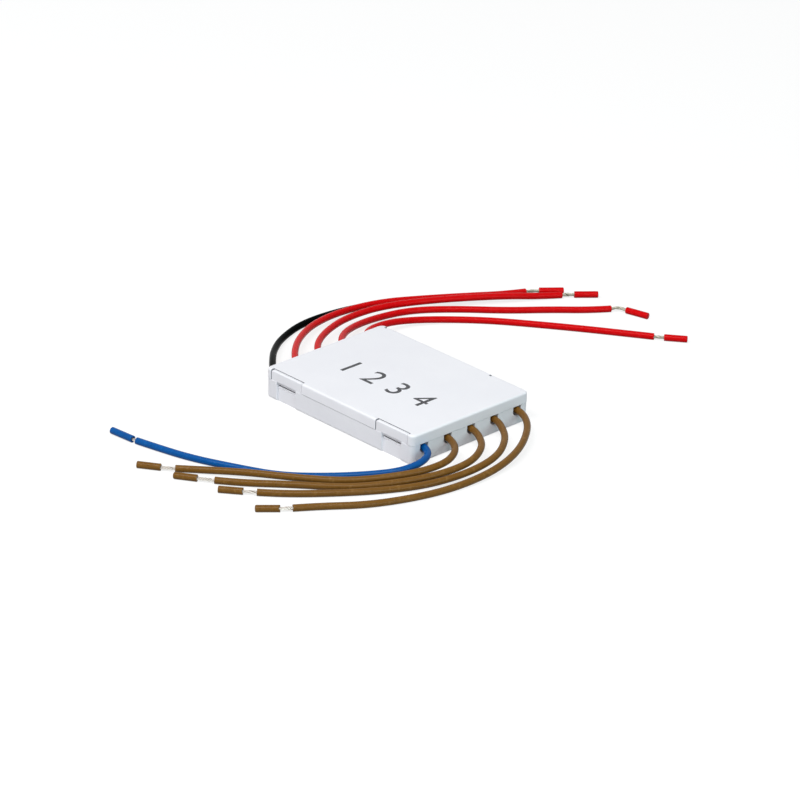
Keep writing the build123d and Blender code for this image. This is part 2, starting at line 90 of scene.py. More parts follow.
# Each lead: the bare strands between insulation and slug, the slug's length, the slug's heading in
# degrees from +X, and the route's points.
LEADS = {
    "blue_lead": (0.0011, 0.0069, 184.9, [
        (0.0219, -0.01496, 0.00382), (0.0249, -0.01496, 0.00382), (0.0282, -0.0168, 0.0036),
        (0.0294, -0.0199, 0.00325), (0.0293, -0.0232, 0.00285), (0.0276, -0.0273, 0.0022),
        (0.0223, -0.0327, 0.0012), (0.0172, -0.0386, 0.00085), (0.01, -0.0464, 0.00085),
        (0.0002, -0.0513, 0.00085), (-0.0099, -0.0558, 0.00085), (-0.0198, -0.0583, 0.00085),
        (-0.0251, -0.0594, 0.00085)
    ]),
    "brown_lead_1": (0.0033, 0.0057, 214.6, [
        (0.0219, -0.00734, 0.00382), (0.0249, -0.00734, 0.00382), (0.0289, -0.009, 0.00365),
        (0.0318, -0.0121, 0.0035), (0.0332, -0.0166, 0.00315), (0.0321, -0.0228, 0.00265),
        (0.0279, -0.0303, 0.0019), (0.0225, -0.038, 0.0015), (0.0144, -0.045, 0.0015),
        (0.0046, -0.0518, 0.00145), (-0.0041, -0.0582, 0.00085), (-0.00835, -0.06215, 0.00085)
    ]),
    "brown_lead_2": (0.004, 0.0057, 213.7, [
        (0.0219, 0.00028, 0.00382), (0.0249, 0.00028, 0.00382), (0.0289, -0.0011, 0.0036),
        (0.0333, -0.0044, 0.00335), (0.0363, -0.0111, 0.0028), (0.0352, -0.0198, 0.0021),
        (0.0309, -0.0291, 0.00135), (0.0246, -0.039, 0.00095), (0.0148, -0.0476, 0.00085),
        (0.007, -0.0556, 0.00085), (0.002, -0.0593, 0.00085)
    ]),
    "brown_lead_3": (0.0031, 0.0058, 219.0, [
        (0.0219, 0.0079, 0.00382), (0.0249, 0.0079, 0.00382), (0.0283, 0.0067, 0.00365),
        (0.0335, 0.0031, 0.00335), (0.038, -0.0041, 0.00275), (0.0384, -0.0137, 0.0018),
        (0.0354, -0.0245, 0.0009), (0.0302, -0.0348, 0.00085), (0.0236, -0.0444, 0.00085),
        (0.0169, -0.0525, 0.00085), (0.0128, -0.0561, 0.00085)
    ]),
    "brown_lead_4": (0.0028, 0.0057, 229.5, [
        (0.0219, 0.01552, 0.00382), (0.0249, 0.01552, 0.00382), (0.0287, 0.0144, 0.0036),
        (0.0333, 0.0106, 0.00325), (0.0384, 0.0026, 0.0024), (0.0407, -0.007, 0.00135),
        (0.0406, -0.0189, 0.00085), (0.0384, -0.0301, 0.00085), (0.0337, -0.0415, 0.00085),
        (0.0271, -0.0502, 0.00085), (0.0239, -0.0553, 0.00085)
    ]),
    "black_lead": (0.003, 0.006, 58.0, [
        (-0.0219, -0.01552, 0.00382), (-0.0249, -0.01552, 0.00382), (-0.0284, -0.0138, 0.0036),
        (-0.0341, -0.0087, 0.003), (-0.0396, -0.0033, 0.00195), (-0.0455, 0.0045, 0.00085),
        (-0.0489, 0.0146, 0.00085), (-0.0485, 0.026, 0.00085), (-0.0457, 0.0371, 0.00085),
        (-0.0422, 0.0448, 0.00085), (-0.04, 0.0487, 0.00085)
    ]),
    "red_lead_1": (0.0035, 0.0063, 51.0, [
        (-0.0219, -0.0079, 0.00382), (-0.0249, -0.0079, 0.00382), (-0.029, -0.0059, 0.00365),
        (-0.0344, -0.0012, 0.0034), (-0.0397, 0.0052, 0.0029), (-0.0445, 0.014, 0.0022),
        (-0.0464, 0.0247, 0.00185), (-0.0445, 0.0368, 0.00175), (-0.0389, 0.0469, 0.00175),
        (-0.0331, 0.0564, 0.0017), (-0.0283, 0.0654, 0.00125), (-0.0263, 0.0705, 0.00115)
    ]),
    "red_lead_2": (0.0031, 0.0061, 50.5, [
        (-0.0219, -0.00028, 0.00382), (-0.0249, -0.00028, 0.00382), (-0.0292, 0.0016, 0.00365),
        (-0.0341, 0.0061, 0.0035), (-0.0383, 0.0134, 0.00315), (-0.0412, 0.0224, 0.00275),
        (-0.0415, 0.0335, 0.00235), (-0.0377, 0.0445, 0.0021), (-0.032, 0.0547, 0.00205),
        (-0.0263, 0.0638, 0.0019), (-0.0223, 0.072, 0.00085), (-0.0194, 0.0766, 0.00085)
    ]),
    "red_lead_3": (0.0042, 0.0062, 13.6, [
        (-0.0219, 0.00734, 0.00382), (-0.0249, 0.00734, 0.00382), (-0.0292, 0.0094, 0.0036),
        (-0.0338, 0.014, 0.00315), (-0.0373, 0.0212, 0.0022), (-0.0391, 0.0307, 0.0011),
        (-0.0372, 0.0411, 0.00085), (-0.0302, 0.0503, 0.00085), (-0.0218, 0.0589, 0.00085),
        (-0.015, 0.0678, 0.00085), (-0.0083, 0.0753, 0.00085), (-0.0055, 0.0799, 0.00085)
    ]),
    "red_lead_4": (0.0024, 0.0058, 39.1, [
        (-0.0219, 0.01496, 0.00382), (-0.0249, 0.01496, 0.00382), (-0.0292, 0.0175, 0.00355),
        (-0.0318, 0.0215, 0.0033), (-0.0328, 0.0289, 0.0025), (-0.0315, 0.0362, 0.00155),
        (-0.0275, 0.0438, 0.00085), (-0.02, 0.0516, 0.00085), (-0.0107, 0.0589, 0.00085),
        (-0.001, 0.0661, 0.00085), (0.0084, 0.0726, 0.00085), (0.01305, 0.0758, 0.00085)
    ]),
}
# How far each lead's strands spread in the gap, as a share of their lay radius, and how much tighter
# than LAY_LENGTH they are twisted
SPREAD = {"brown_lead_4": (0.5, 3.2), "red_lead_2": (0.45, 2.6), "red_lead_1": (0.3, 2.2),
          "brown_lead_2": (0.2, 1.5)}
PLAIN_SPREAD = (0.08, 1.0)
SPREAD_REACH = 0.7
# How high the strands bow up between the insulation and the slug
BOW = {"red_lead_3": 0.0002}
# How deep the stripping blades nicked the slug's inner end and the lead's end, on the two sides
SLUG_NICK = {"brown_lead_3": 0.00024, "brown_lead_4": 0.00036, "red_lead_4": 0.0001}
LEAD_NICK = {"red_lead_4": 0.0003, "brown_lead_4": 0.0001}
PLAIN_NICK = 0.00006
NICK_TURN = 0.6
NICK_REACH = 0.0015
# How round the rim of each slug's outer end is
SLUG_RIM = {"brown_lead_2": 0.00045, "brown_lead_4": 0.0003}
PLAIN_SLUG_RIM = 0.00018


def placed(name, data):
    """An object with the data that it is given, linked to the scene."""
    made = bpy.data.objects.new(name, data)
    bpy.context.scene.collection.objects.link(made)
    return made


def viewpoint(azimuth, elevation):
    """Unit vectors for a place round the module, at an azimuth in degrees that is counted from -Y towards +X
    and an elevation above the floor: back points from the origin to it, level to its right and rise, their
    cross product, up."""
    azimuth, elevation = math.radians(azimuth), math.radians(elevation)
    back = np.array([math.sin(azimuth) * math.cos(elevation), -math.cos(azimuth) * math.cos(elevation),
                     math.sin(elevation)])
    level = np.array([math.cos(azimuth), math.sin(azimuth), 0.0])
    return back, level, np.cross(back, level)


def place_camera():
    """The camera looks at the origin from its viewpoint, rolled about its own axis, and its lens is the
    focal length in pixels over the picture's width."""
    back, level, rise = viewpoint(CAMERA_AZIMUTH, CAMERA_ELEVATION)
    roll = math.radians(CAMERA_ROLL)
    right = math.cos(roll) * level + math.sin(roll) * rise
    up = -math.sin(roll) * level + math.cos(roll) * rise
    data = bpy.data.cameras.new("camera")
    data.sensor_width = SENSOR
    data.lens = SENSOR * FOCAL_PIXELS / PICTURE_PIXELS
    data.shift_x = CENTRE_LEFT_PIXELS / PICTURE_PIXELS
    data.shift_y = CENTRE_DOWN_PIXELS / PICTURE_PIXELS
    data.clip_start = 0.01
    data.clip_end = 20.0
    camera = placed("camera", data)
    turn = Matrix((right, up, back)).transposed().to_4x4()
    camera.matrix_world = Matrix.Translation(back * CAMERA_DISTANCE) @ turn
    bpy.context.scene.camera = camera


place_camera()


# Leads, strands and slugs as grids of points

def centreline(points):
    """The points of a NURBS spline of order 3 with the route's points as its control points."""
    curve = bpy.data.curves.new("route", "CURVE")
    curve.dimensions = "3D"
    spline = curve.splines.new("NURBS")
    spline.points.add(len(points) - 1)
    spline.points.foreach_set("co", np.c_[points, np.ones(len(points))].ravel())
    spline.order_u = 3
    spline.use_endpoint_u = True
    spline.resolution_u = SPLINE_STEPS
    holder = bpy.data.objects.new("route", curve)
    line = bpy.data.meshes.new_from_object(holder)
    found = np.empty(3 * len(line.vertices))
    line.vertices.foreach_get("co", found)
    bpy.data.objects.remove(holder)
    bpy.data.curves.remove(curve)
    bpy.data.meshes.remove(line)
    return found.reshape(-1, 3)


def distances(path):
    """Distance along a path at each of its points."""
    return np.r_[0.0, np.cumsum(np.linalg.norm(np.diff(path, axis=0), axis=1))]


def stations(path, s):
    """Position, tangent, side and up vectors at distances s along a path, past its ends too. The side
    vector is Z cross the tangent, and the up vector is the tangent cross the side vector."""
    at = distances(path)
    along = np.gradient(path, axis=0)
    inside = np.clip(s, 0.0, at[-1])
    centre = np.stack([np.interp(inside, at, path[:, k]) for k in range(3)], axis=1)
    tangent = np.stack([np.interp(inside, at, along[:, k]) for k in range(3)], axis=1)
    tangent /= np.linalg.norm(tangent, axis=1, keepdims=True)
    side = np.cross((0.0, 0.0, 1.0), tangent)
    side /= np.linalg.norm(side, axis=1, keepdims=True)
    return centre + (s - inside)[:, None] * tangent, tangent, side, np.cross(tangent, side)


def tube_piece(name, grids, material, body):
    """One mesh from tubes. Each grid has its stations in rows and its turns in columns: neighbours join in
    quads, the last column joins the first, and each end row is closed by one face. The UV map holds U as
    it is given, in metres, and V as the share of a turn, counted from the share that is given for the
    row."""
    points, faces, uvs, first = [], [], [], 0
    for grid, u, from_share in grids:
        rows, columns = grid.shape[:2]
        index = first + np.arange(rows * columns).reshape(rows, columns)
        right = np.roll(index, -1, axis=1)
        quads = np.stack([index[:-1], right[:-1], right[1:], index[1:]], axis=-1).reshape(-1, 4)
        faces += quads.tolist() + [index[0, ::-1].tolist(), index[-1].tolist()]
        v = np.arange(columns) / columns
        along = np.repeat(u[:, None], columns, axis=1)
        near = v - from_share[:, None]
        far = near + 1 / columns
        corner = np.stack([along[:-1], near[:-1], along[:-1], far[:-1], along[1:], far[1:], along[1:],
                           near[1:]], axis=-1)
        uvs += [corner.reshape(-1, 2), np.c_[along[0], near[0, ::-1]], np.c_[along[-1], near[-1]]]
        points.append(grid.reshape(-1, 3))
        first += rows * columns
    mesh = bpy.data.meshes.new(name)
    mesh.from_pydata(np.concatenate(points).tolist(), [], faces)
    mesh.uv_layers.new(name="along_and_round").uv.foreach_set("vector", np.concatenate(uvs).ravel())
    mesh.shade_smooth()
    mesh.set_sharp_from_angle(angle=math.radians(SHARP_DEGREES))
    mesh.materials.append(material)
    piece = placed(name, mesh)
    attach(piece, body)
    return piece


def round_rim(end, radius, rim, steps=4):
    """Distances and radii of a quarter circle that turns a tube's wall of the given radius in at its end."""
    turn = np.linspace(0.0, math.pi / 2, steps)
    return end - rim + rim * np.sin(turn), radius - rim + rim * np.cos(turn)


def round_grid(path, s, radius, turns, nick=None):
    """A tube's points: the centre at distance s plus the radius times the cosine of the turn along the
    side vector and its sine along the up vector. nick moves each point along the tangent."""
    centre, tangent, side, up = stations(path, s)
    ring = np.cos(turns)[None, :, None] * side[:, None] + np.sin(turns)[None, :, None] * up[:, None]
    grid = centre[:, None] + radius[:, None, None] * ring
    if nick is not None:
        grid += nick[:, :, None] * tangent[:, None]
    return grid


def blade_nick(s, end, depth, turns):
    """Two shallow V cuts on opposite sides of a cut end: the depth times the fourth power of the cosine
    of the turn from the blades, fading to none over the nick's reach."""
    fade = np.clip(1.0 - np.abs(s - end) / NICK_REACH, 0.0, 1.0)
    return depth * fade[:, None] * np.cos(turns - NICK_TURN)[None, :] ** 4


def lead_turns():
    """Evenly spaced turns round a lead, from its lowest line."""
    return LOWEST_TURN + np.arange(LEAD_AROUND) * 2 * math.pi / LEAD_AROUND


def lead_grid(path, nick):
    """A lead's insulation: a tube whose far end has a small rim, a flat cut and a hole for the strands."""
    length = distances(path)[-1]
    rim_s, rim_r = round_rim(length, LEAD_RADIUS, CUT_RIM)
    body_s = np.linspace(0.0, length - CUT_RIM, int(length / STATION_STEP))[:-1]
    s = np.r_[0.0, body_s, rim_s, length, length - CUT_RIM]
    radius = np.r_[HOLE_RADIUS, np.full(len(body_s), LEAD_RADIUS), rim_r, CONDUCTOR_RADIUS, HOLE_RADIUS]
    turns = lead_turns()
    moved = blade_nick(s, length, -nick, turns)
    return round_grid(path, s, radius, turns, moved), s, np.zeros(len(s))


def strand_grids(path, gap, spread, twist, seed):
    """Ten wires laid round a path: each wire's centre is the path plus its lay radius at an angle that
    grows by one turn every lay length. Over most of the gap the lay radius swells by the spread times a
    half sine, and each wire has its own share of that and its own lead or lag in angle. V is counted from
    the side of the wire that faces out of the bundle."""
    length = distances(path)[-1]
    s = np.linspace(0.0, length, int(length / STRAND_STEP))
    centre, _, side, up = stations(path, s)
    loose = np.clip((s - HIDDEN_LENGTH) / (SPREAD_REACH * gap), 0.0, 1.0)
    swell = np.sin(math.pi * loose)
    draw = np.random.default_rng(seed)
    wires = OUTER_WIRES + INNER_WIRES
    share, lag = draw.uniform(0.2, 1.0, wires), draw.uniform(-0.5, 0.5, wires)
    lay = np.r_[np.full(OUTER_WIRES, OUTER_LAY_RADIUS), np.full(INNER_WIRES, INNER_LAY_RADIUS)]
    start = np.r_[np.arange(OUTER_WIRES) / OUTER_WIRES, np.arange(INNER_WIRES) / INNER_WIRES] * 2 * math.pi
    turns = np.arange(WIRE_AROUND) * 2 * math.pi / WIRE_AROUND
    grids = []
    for k in range(wires):
        angle = start[k] + 2 * math.pi * s / LAY_LENGTH * twist + lag[k] * swell
        radius = lay[k] * (1.0 + spread * share[k] * swell)
        line = centre + radius[:, None] * (np.cos(angle)[:, None] * side + np.sin(angle)[:, None] * up)
        wire = round_grid(line, distances(line), np.full(len(s), WIRE_RADIUS), turns)
        grids.append((wire, s, angle / (2 * math.pi)))
    return grids


def slug_grid(path, length, rim, nick):
    """A cut-off sleeve of insulation: a blind bore, a nicked inner end, the outer wall and a closed,
    slightly domed outer end. Its distance runs from the bore's blind end out over the inner end."""
    blind = length - CLOSED_END
    inner_s, inner_r = round_rim(0.0, LEAD_RADIUS, CUT_RIM)
    outer_s, outer_r = round_rim(length, LEAD_RADIUS, rim, 6)
    wall = np.linspace(CUT_RIM, length - rim, int(length / STATION_STEP))[1:-1]
    domed_s = length + DOME_HEIGHT * (1.0 - DOME_RINGS ** 2)
    bore_s = np.linspace(blind, BORE_MOUTH, 8)
    s = np.r_[blind, bore_s, 0.0, -inner_s[::-1], wall, outer_s, domed_s]
    radius = np.r_[BORE_POINT, np.full(len(bore_s), BORE_RADIUS), BORE_RADIUS + BORE_MOUTH, inner_r[::-1],
                   np.full(len(wall), LEAD_RADIUS), outer_r, DOME_RINGS * (LEAD_RADIUS - rim)]
    turns = lead_turns()
    moved = blade_nick(s, 0.0, nick, turns)
    return round_grid(path, s, radius, turns, moved), distances(np.c_[s, radius]), np.zeros(len(s))


# Materials. Noise scales are in waves for each metre, and heights in metres.

PLASTIC_TONE_WAVES = 70.0
PLASTIC_GLOSS_WAVES = 500.0
PLASTIC_GRAIN_WAVES = 7000.0
PLASTIC_GRAIN_HEIGHT = 0.000006
PLASTIC_SPECULAR = 0.35

# Insulation: the drawn lines' noise is stretched along the lead, and the rubbed spots stand in a line whose
# middle and reach are shares of a turn.
ALONG_STRETCH = 60.0
ROUND_STRETCH = 3.0
LINE_WAVES = 2.2
LINE_HEIGHT = 0.000002
MOTTLE_WAVES = 900.0
MOTTLE_HEIGHT = 0.000003
SPOT_WAVES = 1500.0
SPOT_LINE = (0.33, 0.055)
SPOT_SHADE = 0.45

WIRE_SPECK_WAVES = 4000.0
BARE_METAL_HEIGHT = 0.000005
BOARD_TRACK_SCALE = 260.0
BOARD_WEAVE_WAVES = 4000.0
BOARD_WEAVE_HEIGHT = 0.000008
COMPONENT_GRAIN_WAVES = 5000.0
COMPONENT_GRAIN_HEIGHT = 0.00001
COMPONENT_METAL = (0.72, 0.72, 0.72)
INK_WEAR_WAVES = 2500.0


def new_material(name):
    """A material with its node tree and its Principled shader."""
    material = bpy.data.materials.new(name)
    material.use_nodes = True
    return material, material.node_tree, material.node_tree.nodes["Principled BSDF"]


def node(tree, kind, settings=None, **inputs):
    """A node of a kind with its settings, whose inputs are values or other nodes' sockets. An input goes by
    its name, or by i and its number."""
    made = tree.nodes.new("ShaderNode" + kind)
    for key, value in (settings or {}).items():
        setattr(made, key, value)
    for key, value in inputs.items():
        socket = made.inputs[int(key[1:])] if key[0] == "i" and key[1:].isdigit() else made.inputs[key]
        if isinstance(value, bpy.types.NodeSocket):
            tree.links.new(value, socket)
        else:
            socket.default_value = value
    return made


def maths(tree, operation, a, b=0.0):
    """One Math node's result."""
    return node(tree, "Math", {"operation": operation}, i0=a, i1=b).outputs[0]


def noise(tree, vector, scale, detail=2.0, roughness=0.5):
    """Noise between 0 and 1 over a vector."""
    return node(tree, "TexNoise", None, Vector=vector, Scale=scale, Detail=detail,
                Roughness=roughness).outputs[0]


def spread_over(tree, value, low, high, to_low, to_high):
    """A value between low and high mapped to the range from to_low to to_high, and held there outside."""
    return node(tree, "MapRange", None, i0=value, i1=low, i2=high, i3=to_low, i4=to_high).outputs[0]


def blend_colours(tree, share, first, second):
    """A colour between two, by a share from 0 to 1."""
    made = node(tree, "Mix", {"data_type": "RGBA"}, i0=share)
    for socket, value in ((made.inputs[6], first), (made.inputs[7], second)):
        if isinstance(value, bpy.types.NodeSocket):
            tree.links.new(value, socket)
        else:
            socket.default_value = (*value, 1.0)
    return made.outputs[2]


def bump(tree, shader, pattern, height, after=None):
    """Bumps on a shader where a pattern rises, of the given height, over any earlier bump."""
    made = node(tree, "Bump", None, Strength=1.0, Distance=height, Height=pattern)
    if after is not None:
        tree.links.new(after.outputs[0], made.inputs["Normal"])
    tree.links.new(made.outputs[0], shader.inputs["Normal"])
    return made


def object_place(tree):
    """Object coordinates, which on these pieces are the module's own frame in metres."""
    return node(tree, "TexCoord").outputs["Object"]


# The groove round each snap tab, whose walls get painted shade, by distances from the casing's middle lines
# and from its underside. The pairs are a middle and a reach.
GROOVE_WALL_Y = 0.0180626
GROOVE_REACH = 0.00003
TAB_MIDDLE_X = 0.01795
NOTCH_HALF_WIDTH = 0.0054
GROOVE_SIDE = (0.005325, 0.000085)
GROOVE_DEPTH = (0.018545, 0.00048)
GROOVE_FOOT_Z = 0.00496
# The colour of the painted shade on the groove's walls
GROOVE_PAINTED_SHADE = (0.36, 0.36, 0.39)


def within(tree, value, middle, reach):
    """1 where a value is less than the reach away from the middle, 0 elsewhere."""
    off = maths(tree, "ABSOLUTE", maths(tree, "SUBTRACT", value, middle))
    return maths(tree, "LESS_THAN", off, reach)


def groove_share(tree, place):
    """1 where painted shade darkens the walls of the groove behind and beside a snap tab, 0 elsewhere. The
    sizes of X and Y are taken without their signs, so one box behind a tab and one strip beside it stand for
    all four tabs."""
    split = node(tree, "SeparateXYZ", None, Vector=place)
    far_x, far_y = (maths(tree, "ABSOLUTE", split.outputs[axis]) for axis in (0, 1))
    off_tab = maths(tree, "ABSOLUTE", maths(tree, "SUBTRACT", far_x, TAB_MIDDLE_X))
    behind = maths(tree, "MULTIPLY", within(tree, far_y, GROOVE_WALL_Y, GROOVE_REACH),
                   maths(tree, "LESS_THAN", off_tab, NOTCH_HALF_WIDTH))
    beside = maths(tree, "MULTIPLY", within(tree, off_tab, *GROOVE_SIDE), within(tree, far_y, *GROOVE_DEPTH))
    beside = maths(tree, "MULTIPLY", beside, maths(tree, "GREATER_THAN", split.outputs[2], GROOVE_FOOT_Z))
    return maths(tree, "MAXIMUM", behind, beside)


def moulded_plastic():
    """White satin plastic: a fine spark-eroded grain, a slow change of tone and of gloss over the face, and
    painted shade on the walls of the groove round each snap tab, which is too narrow to look dark by itself."""
    material, tree, shader = new_material("white_satin_plastic")
    place = object_place(tree)
    slow = noise(tree, place, PLASTIC_TONE_WAVES, 3.0)
    shader.inputs["Base Color"].default_value = (0.87, 0.865, 0.905, 1.0)
    colour = blend_colours(tree, spread_over(tree, slow, 0.3, 0.7, 0.0, 1.0), (0.855, 0.85, 0.893),
                           (0.885, 0.88, 0.918))
    # Painted shade on the walls of the groove round each snap tab
    colour = blend_colours(tree, groove_share(tree, place), colour, GROOVE_PAINTED_SHADE)
    tree.links.new(colour, shader.inputs["Base Color"])
    grain = noise(tree, place, PLASTIC_GRAIN_WAVES, 3.0, 0.6)
    gloss = spread_over(tree, noise(tree, place, PLASTIC_GLOSS_WAVES), 0.3, 0.7, 0.46, 0.56)
    tree.links.new(gloss, shader.inputs["Roughness"])
    shader.inputs["Specular IOR Level"].default_value = PLASTIC_SPECULAR
    bump(tree, shader, grain, PLASTIC_GRAIN_HEIGHT)
    return material


def insulation(name, colour, shade, lift, specular):
    """Extruded insulation: fine lines along the lead, drawn from noise that is stretched along it, a slow
    mottle, faint rubbed spots in a line, and a half-gloss skin. It reads the lead's own UV map."""
    material, tree, shader = new_material(name)
    uv = node(tree, "UVMap", {"uv_map": "along_and_round"}).outputs[0]
    split = node(tree, "SeparateXYZ", None, Vector=uv)
    turn = maths(tree, "MULTIPLY", split.outputs[1], 2 * math.pi)
    across = maths(tree, "MULTIPLY", maths(tree, "COSINE", turn), ROUND_STRETCH)
    upward = maths(tree, "MULTIPLY", maths(tree, "SINE", turn), ROUND_STRETCH)
    along = maths(tree, "MULTIPLY", split.outputs[0], ALONG_STRETCH)
    stretched = node(tree, "CombineXYZ", None, X=along, Y=across, Z=upward).outputs[0]
    lines = noise(tree, stretched, LINE_WAVES, 3.0, 0.6)
    place = object_place(tree)
    mottle = noise(tree, place, MOTTLE_WAVES, 3.0, 0.55)
    tone = blend_colours(tree, spread_over(tree, lines, 0.35, 0.65, 0.0, 1.0), shade, colour)
    tone = blend_colours(tree, spread_over(tree, mottle, 0.55, 0.75, 0.0, 0.5), tone, lift)
    band = within(tree, split.outputs[1], *SPOT_LINE)
    spots = spread_over(tree, noise(tree, place, SPOT_WAVES), 0.6, 0.68, 0.0, 0.35)
    tone = blend_colours(tree, maths(tree, "MULTIPLY", band, spots), tone,
                         tuple(SPOT_SHADE * value for value in colour))
    tree.links.new(tone, shader.inputs["Base Color"])
    tree.links.new(spread_over(tree, mottle, 0.3, 0.7, 0.2, 0.27), shader.inputs["Roughness"])
    shader.inputs["Specular IOR Level"].default_value = specular
    first = bump(tree, shader, lines, LINE_HEIGHT)
    bump(tree, shader, mottle, MOTTLE_HEIGHT, first)
    return material


def stranded_metal(name, colour, shade):
    """Tinned wires with painted shade in the grooves of the bundle: the cosine of the turn from each wire's
    outward side, read from the wires' own UV map, with a fine noise over it."""
    material, tree, shader = new_material(name)
    uv = node(tree, "UVMap", {"uv_map": "along_and_round"}).outputs[0]
    turn = maths(tree, "MULTIPLY", node(tree, "SeparateXYZ", None, Vector=uv).outputs[1], 2 * math.pi)
    # Painted shade: each wire is darker the further it turns from its outward side
    outward = spread_over(tree, maths(tree, "COSINE", turn), -0.1, 0.95, 0.0, 1.0)
    speck = noise(tree, object_place(tree), WIRE_SPECK_WAVES, 3.0)
    share = maths(tree, "MULTIPLY", outward, spread_over(tree, speck, 0.3, 0.6, 0.55, 1.0))
    tree.links.new(blend_colours(tree, share, shade, colour), shader.inputs["Base Color"])
    tree.links.new(spread_over(tree, speck, 0.3, 0.7, 0.5, 0.4), shader.inputs["Roughness"])
    shader.inputs["Metallic"].default_value = 1.0
    return material


def bare_metal(name, colour, shade, waves, gloss):
    """Bare metal with a small change of tone and of gloss."""
    material, tree, shader = new_material(name)
    tone = noise(tree, object_place(tree), waves, 3.0)
    tree.links.new(blend_colours(tree, tone, shade, colour), shader.inputs["Base Color"])
    tree.links.new(spread_over(tree, tone, 0.3, 0.7, *gloss), shader.inputs["Roughness"])
    shader.inputs["Metallic"].default_value = 1.0
    bump(tree, shader, tone, BARE_METAL_HEIGHT)
    return material


def board_laminate():
    """Green solder mask over copper tracks, which show lighter along the joints of a brick pattern, with a
    fine weave over both."""
    material, tree, shader = new_material("green_solder_mask")
    place = object_place(tree)
    tracks = node(tree, "TexBrick", None, Vector=place, Scale=BOARD_TRACK_SCALE).outputs["Fac"]
    weave = noise(tree, place, BOARD_WEAVE_WAVES)
    tone = blend_colours(tree, tracks, (0.012, 0.12, 0.05), (0.03, 0.22, 0.09))
    tree.links.new(tone, shader.inputs["Base Color"])
    shader.inputs["Roughness"].default_value = 0.35
    bump(tree, shader, weave, BOARD_WEAVE_HEIGHT)
    return material


def capped_component(name, axis, start, period, low, high, body_tone, body_shade):
    """A component whose metal lies outside a band: the distance from start along an axis, wrapped at the
    period, is below low or above high. The body between is moulded or fired, with a fine grain."""
    material, tree, shader = new_material(name)
    place = object_place(tree)
    split = node(tree, "SeparateXYZ", None, Vector=place)
    distance = maths(tree, "FLOORED_MODULO", maths(tree, "SUBTRACT", split.outputs[axis], start), period)
    metal_share = maths(tree, "MAXIMUM", maths(tree, "LESS_THAN", distance, low),
                        maths(tree, "GREATER_THAN", distance, high))
    grain = noise(tree, place, COMPONENT_GRAIN_WAVES)
    body = blend_colours(tree, grain, body_shade, body_tone)
    tree.links.new(blend_colours(tree, metal_share, body, COMPONENT_METAL), shader.inputs["Base Color"])
    tree.links.new(metal_share, shader.inputs["Metallic"])
    tree.links.new(spread_over(tree, metal_share, 0.0, 1.0, 0.55, 0.3), shader.inputs["Roughness"])
    bump(tree, shader, grain, COMPONENT_GRAIN_HEIGHT)
    return material


def printing_ink():
    """Matt dark ink, thinner in places."""
    material, tree, shader = new_material("dark_ink")
    wear = spread_over(tree, noise(tree, object_place(tree), INK_WEAR_WAVES, 3.0), 0.45, 0.75, 0.0, 0.25)
    colour = blend_colours(tree, wear, (0.035, 0.035, 0.04), (0.3, 0.3, 0.31))
    tree.links.new(colour, shader.inputs["Base Color"])
    shader.inputs["Roughness"].default_value = 0.6
    return material


WHITE = moulded_plastic()
# The red leads' strands take a darker, greener copy of the same tinned metal: painted shade for the darker
# surroundings that they mirror.
BRIGHT_STRANDS = stranded_metal("bright_tinned_strands", (0.76, 0.72, 0.67), (0.4, 0.36, 0.32))
STRANDS_PAINTED_DARKER = stranded_metal("tinned_strands_painted_darker", (0.44, 0.43, 0.36), (0.2, 0.19, 0.15))
TAILS = bare_metal("tinned_tails", (0.86, 0.85, 0.82), (0.62, 0.6, 0.56), 3000.0, (0.22, 0.38))
SOLDER = bare_metal("bright_solder", (0.76, 0.77, 0.78), (0.6, 0.6, 0.61), 900.0, (0.2, 0.35))
INSULATION = {
    "blue": insulation("blue_insulation", (0.001, 0.09, 0.33), (0.001, 0.072, 0.28), (0.006, 0.125, 0.42),
                       0.11),
    "brown": insulation("brown_insulation", (0.205, 0.096, 0.019), (0.16, 0.068, 0.008), (0.3, 0.165, 0.05),
                        0.11),
    "black": insulation("black_insulation", (0.001, 0.002, 0.002), (0.0005, 0.001, 0.001),
                        (0.003, 0.006, 0.006), 0.01),
    "red": insulation("red_insulation", (0.66, 0.003, 0.005), (0.59, 0.001, 0.002), (0.74, 0.014, 0.02),
                      0.06),
}


# Leads, with their strands and slugs

def named(lead, piece):
    """The name of a lead's strands or slug."""
    return lead.replace("lead", piece)


